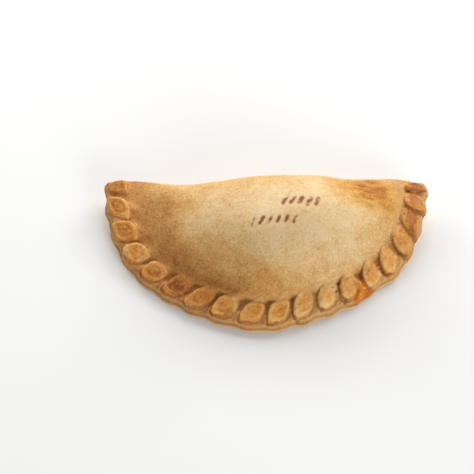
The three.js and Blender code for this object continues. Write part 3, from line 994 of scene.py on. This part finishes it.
# Colours of the two kinds of browning, from raw to toasted in even steps, and of what lies over them.
TAN = [
    srgb(238, 208, 160),
    srgb(231, 196, 142),
    srgb(218, 172, 106),
    srgb(202, 147, 80),
    srgb(178, 120, 58),
    srgb(146, 88, 38),
]
GOLD = [
    srgb(242, 210, 150),
    srgb(240, 193, 115),
    srgb(238, 170, 84),
    srgb(221, 145, 60),
    srgb(192, 112, 44),
    srgb(146, 80, 28),
]
AMBER_GLAZE = (1.0, 0.865, 0.45, 1.0)
RIM_FLOUR = srgb(200, 164, 114)
FRECKLE = srgb(168, 104, 46)
UNDERSIDE_FLOUR = srgb(232, 212, 178)
TOASTED = srgb(136, 60, 26)
# The dark brown of the painted shade in grooves, hollows and holes and round the pinches.
CREVICE = srgb(140, 70, 23)
SAUCE = (srgb(188, 92, 8), srgb(222, 136, 26))  # deep and bright

# Noise that mottles the crust: scale, detail and roughness, and how much it changes the browning.
MOTTLING = {"broad": (75, 2.0, 0.55), "patchy": (260, 3.0, 0.6), "fine": (1100, 3.0, 0.65)}
MOTTLED = {"broad": 0.42, "patchy": 0.42, "fine": 0.85}


class Nodes:
    """Short names for making the nodes of one material."""

    def __init__(self, name):
        self.material = bpy.data.materials.new(name)
        self.material.use_nodes = True
        self.tree = self.material.node_tree
        self.tree.nodes.clear()

    def add(self, kind, sockets=(), **settings):
        """A new node. Each of its named sockets gets a number or a colour, or is linked to another node."""
        node = self.tree.nodes.new("ShaderNode" + kind)
        for name, value in settings.items():
            setattr(node, name, value)
        for name, value in dict(sockets).items():
            if isinstance(value, (int, float, tuple)):
                node.inputs[name].default_value = value
            else:
                self.tree.links.new(value, node.inputs[name])
        return node

    def attribute(self, name):
        node = self.add("Attribute", attribute_type="GEOMETRY", attribute_name=name)
        return node.outputs["Fac"]

    def math(self, operation, *values):
        return self.add("Math", enumerate(values), operation=operation).outputs[0]

    def times(self, *values):
        return reduce(lambda a, b: self.math("MULTIPLY", a, b), values)

    def plus(self, *values):
        return reduce(lambda a, b: self.math("ADD", a, b), values)

    def minus(self, a, b):
        return self.math("SUBTRACT", a, b)

    def noise(self, coordinates, scale, detail=2.0, roughness=0.5):
        sockets = {"Vector": coordinates, "Scale": scale, "Detail": detail, "Roughness": roughness}
        return self.add("TexNoise", sockets).outputs["Fac"]

    def step(self, value, low, high, to_low=0.0, to_high=1.0):
        sockets = enumerate((value, low, high, to_low, to_high))
        return self.add("MapRange", sockets, interpolation_type="SMOOTHSTEP").outputs["Result"]

    def line_at(self, value, middle, full, end):
        """1 where the value is within full of the middle, fading to 0 where it is end away."""
        return self.step(self.math("ABSOLUTE", self.minus(value, middle)), full, end, 1.0, 0.0)

    def ramp(self, value, colours):
        """A ramp with these colours at even steps from 0 to 1."""
        node = self.add("ValToRGB", {"Fac": value})
        elements = node.color_ramp.elements
        while len(elements) < len(colours):
            elements.new(0.5)
        for k, (element, colour) in enumerate(zip(elements, colours)):
            element.position = k / (len(colours) - 1)
            element.color = colour
        return node.outputs["Color"]

    def blend(self, share, a, b, kind="MIX"):
        sockets = {"Factor": share, "A": a, "B": b}
        return self.add("Mix", sockets, data_type="RGBA", blend_type=kind).outputs["Result"]

    def finish(self, sockets):
        """Ends the material in a Principled BSDF, and gives it."""
        shader = self.add("BsdfPrincipled", sockets)
        self.add("OutputMaterial", {"Surface": shader.outputs["BSDF"]})
        return self.material


def crust_colour(n, place, browning, patchy, crevice):
    """The browned dough's colour. Over it lie amber, flour, freckles, the toasted marks, the painted shade
    of grooves, hollows and pinch outlines, and the run of sauce."""
    colour = n.blend(n.attribute("golden"), n.ramp(browning, TAN), n.ramp(browning, GOLD))
    colour = n.blend(n.attribute("amber"), colour, AMBER_GLAZE, "MULTIPLY")
    freckles = n.step(n.noise(place, 1000, 1.0, 0.4), 0.62, 0.72)
    freckled = n.step(n.noise(place, 140, 1.0), 0.40, 0.62, 0.25, 1.0)
    floury = n.step(n.noise(place, 420, 2.0, 0.5), 0.55, 0.75)
    layers = (
        (n.attribute("flour"), RIM_FLOUR),
        (n.times(freckles, freckled, 0.34), FRECKLE),
        (n.times(floury, n.attribute("underneath"), 0.35), UNDERSIDE_FLOUR),
        (n.step(n.attribute("marks"), 0.08, 0.6, 0.0, 0.9), TOASTED),
        # Painted shade in grooves, hollows and holes and round each pinch.
        (n.times(crevice, 0.88), CREVICE),
        (n.step(n.attribute("sauce"), 0.05, 0.6), n.blend(n.step(patchy, 0.35, 0.65), *SAUCE)),
    )
    for share, over in layers:
        colour = n.blend(share, colour, over)
    return colour


def baked_crust():
    """Matt baked dough, mottled at three sizes. Each pinch has faint whorls, a painted highlight along its
    raised rim and a painted shade line round it. The sauce is glossy, and the pinches shine a little."""
    n = Nodes("baked_crust")
    place = n.add("TexCoord").outputs["Object"]
    noises = {name: n.noise(place, *facts) for name, facts in MOTTLING.items()}
    patchy, fine = noises["patchy"], noises["fine"]
    on_pinch, beaded, sauce = map(n.attribute, ("on_pinch", "bead", "sauce"))

    from_middle = n.plus(n.attribute("from_pinch"), n.times(n.minus(patchy, 0.5), 0.7))
    # A painted highlight: a paler line along each pinch's raised rim.
    bead = n.times(n.line_at(from_middle, 0.9, 0.03, 0.1), beaded)
    whorls = n.math("SINE", n.times(from_middle, 17.0))
    whorls = n.times(whorls, n.step(from_middle, 0.7, 0.85, 1.0, 0.0), beaded)
    browning = n.minus(n.attribute("browning"), n.times(bead, 0.08))
    browning = n.plus(browning, n.times(whorls, 0.05))
    calm = n.minus(1.0, n.times(on_pinch, 0.2))
    for name, share in MOTTLED.items():
        browning = n.plus(browning, n.times(n.minus(noises[name], 0.5), share, calm))
    # The painted shade line round each pinch, joined with the painted shade of the grooves and hollows.
    outline = n.times(n.line_at(from_middle, 1.06, 0.03, 0.12), n.attribute("outline"))
    crevice = n.math("MAXIMUM", n.attribute("crevice"), outline)

    roughness = n.plus(n.times(patchy, 0.22), 0.50, n.times(sauce, -0.42), n.times(on_pinch, -0.08))
    shine = n.minus(n.plus(n.times(on_pinch, 0.16), 0.24), n.times(beaded, 0.14))
    shine = n.times(shine, n.minus(1.0, crevice))
    shine = n.math("MAXIMUM", shine, n.times(sauce, 0.5))
    height = n.plus(n.times(fine, 0.6), n.times(patchy, 0.8), n.times(whorls, -0.3))
    bump = n.add("Bump", {"Strength": 0.6, "Distance": 0.0004, "Height": height})
    return n.finish({
        "Base Color": crust_colour(n, place, browning, patchy, crevice),
        "Roughness": roughness,
        "Specular IOR Level": shine,
        "Normal": bump.outputs["Normal"],
    })


def pale_floor():
    sockets = {"Base Color": (0.92, 0.92, 0.915, 1.0), "Roughness": 0.7, "Specular IOR Level": 0.2}
    return Nodes("pale_floor").finish(sockets)


# ---- Floor, light and camera ----

IMAGE_SIDE = 474
CAMERA = {"elevation": 58.0, "distance": 0.70, "pixels_per_mm": 2.448, "aim_pixel": (264.7, 248.2)}
AIM = Vector((0.0, 0.0, 0.010))
LAMP = {"size": 0.70, "distance": 1.2}
LAMPS = {  # azimuth, clockwise from behind as seen from above, elevation, and power
    "behind_left": (-45, 27, 5.5),
    "behind": (0, 38, 6.0),
    "behind_right": (45, 30, 6.6),
    "front": (150, 20, 6.5),
}
ROOM_LIGHT = 0.285
FLOOR_REACH = 4.0


def make_floor():
    mesh = bpy.data.meshes.new("floor")
    corners = [(FLOOR_REACH * x, FLOOR_REACH * y, 0) for x, y in ((-1, -1), (1, -1), (1, 1), (-1, 1))]
    mesh.from_pydata(corners, [], [(0, 1, 2, 3)])
    mesh.materials.append(pale_floor())
    floor = placed("floor", mesh)


def round_light(name, azimuth, elevation, power):
    """A soft round lamp aimed at the pastry."""
    turn, rise = math.radians(azimuth), math.radians(elevation)
    towards = Vector((math.sin(turn) * math.cos(rise), math.cos(turn) * math.cos(rise), math.sin(rise)))
    data = bpy.data.lights.new(name, "AREA")
    data.shape = "DISK"
    data.size = LAMP["size"]
    data.energy = power
    light = placed(name, data)
    light.location = AIM + towards * LAMP["distance"]
    light.rotation_euler = (-towards).to_track_quat("-Z", "Y").to_euler()


def make_light():
    """Three soft lamps in a half circle behind, one low in front, and a little light from all round."""
    for name, facts in LAMPS.items():
        round_light(name, *facts)
    world = bpy.data.worlds.new("studio")
    world.use_nodes = True
    background = world.node_tree.nodes["Background"]
    background.inputs["Color"].default_value = (1.0, 1.0, 1.0, 1.0)
    background.inputs["Strength"].default_value = ROOM_LIGHT
    bpy.context.scene.world = world
    bpy.context.scene.view_settings.view_transform = "Standard"


def make_camera():
    """Looks down from the front, turned a little so that the pastry lies right of the middle and below."""
    elevation = math.radians(CAMERA["elevation"])
    ahead = Vector((0, math.cos(elevation), -math.sin(elevation)))
    right, up = Vector((1, 0, 0)), Vector((0, math.sin(elevation), math.cos(elevation)))
    focal_pixels = CAMERA["distance"] / MM * CAMERA["pixels_per_mm"]
    off_x, off_y = ((v - IMAGE_SIDE / 2) / focal_pixels for v in CAMERA["aim_pixel"])
    data = bpy.data.cameras.new("camera")
    data.sensor_width = 36.0
    data.lens = focal_pixels / IMAGE_SIDE * data.sensor_width
    data.clip_start = 0.01
    data.clip_end = 20.0
    camera = placed("camera", data)
    camera.location = AIM - ahead * CAMERA["distance"]
    camera.rotation_euler = (ahead - right * off_x + up * off_y).to_track_quat("-Z", "Y").to_euler()
    bpy.context.scene.camera = camera


# ---- The dressed pastry ----

crust = make_crust()
crust.data.materials.append(baked_crust())
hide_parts("empanada")
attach(crust, "root")

make_floor()
make_light()
make_camera()
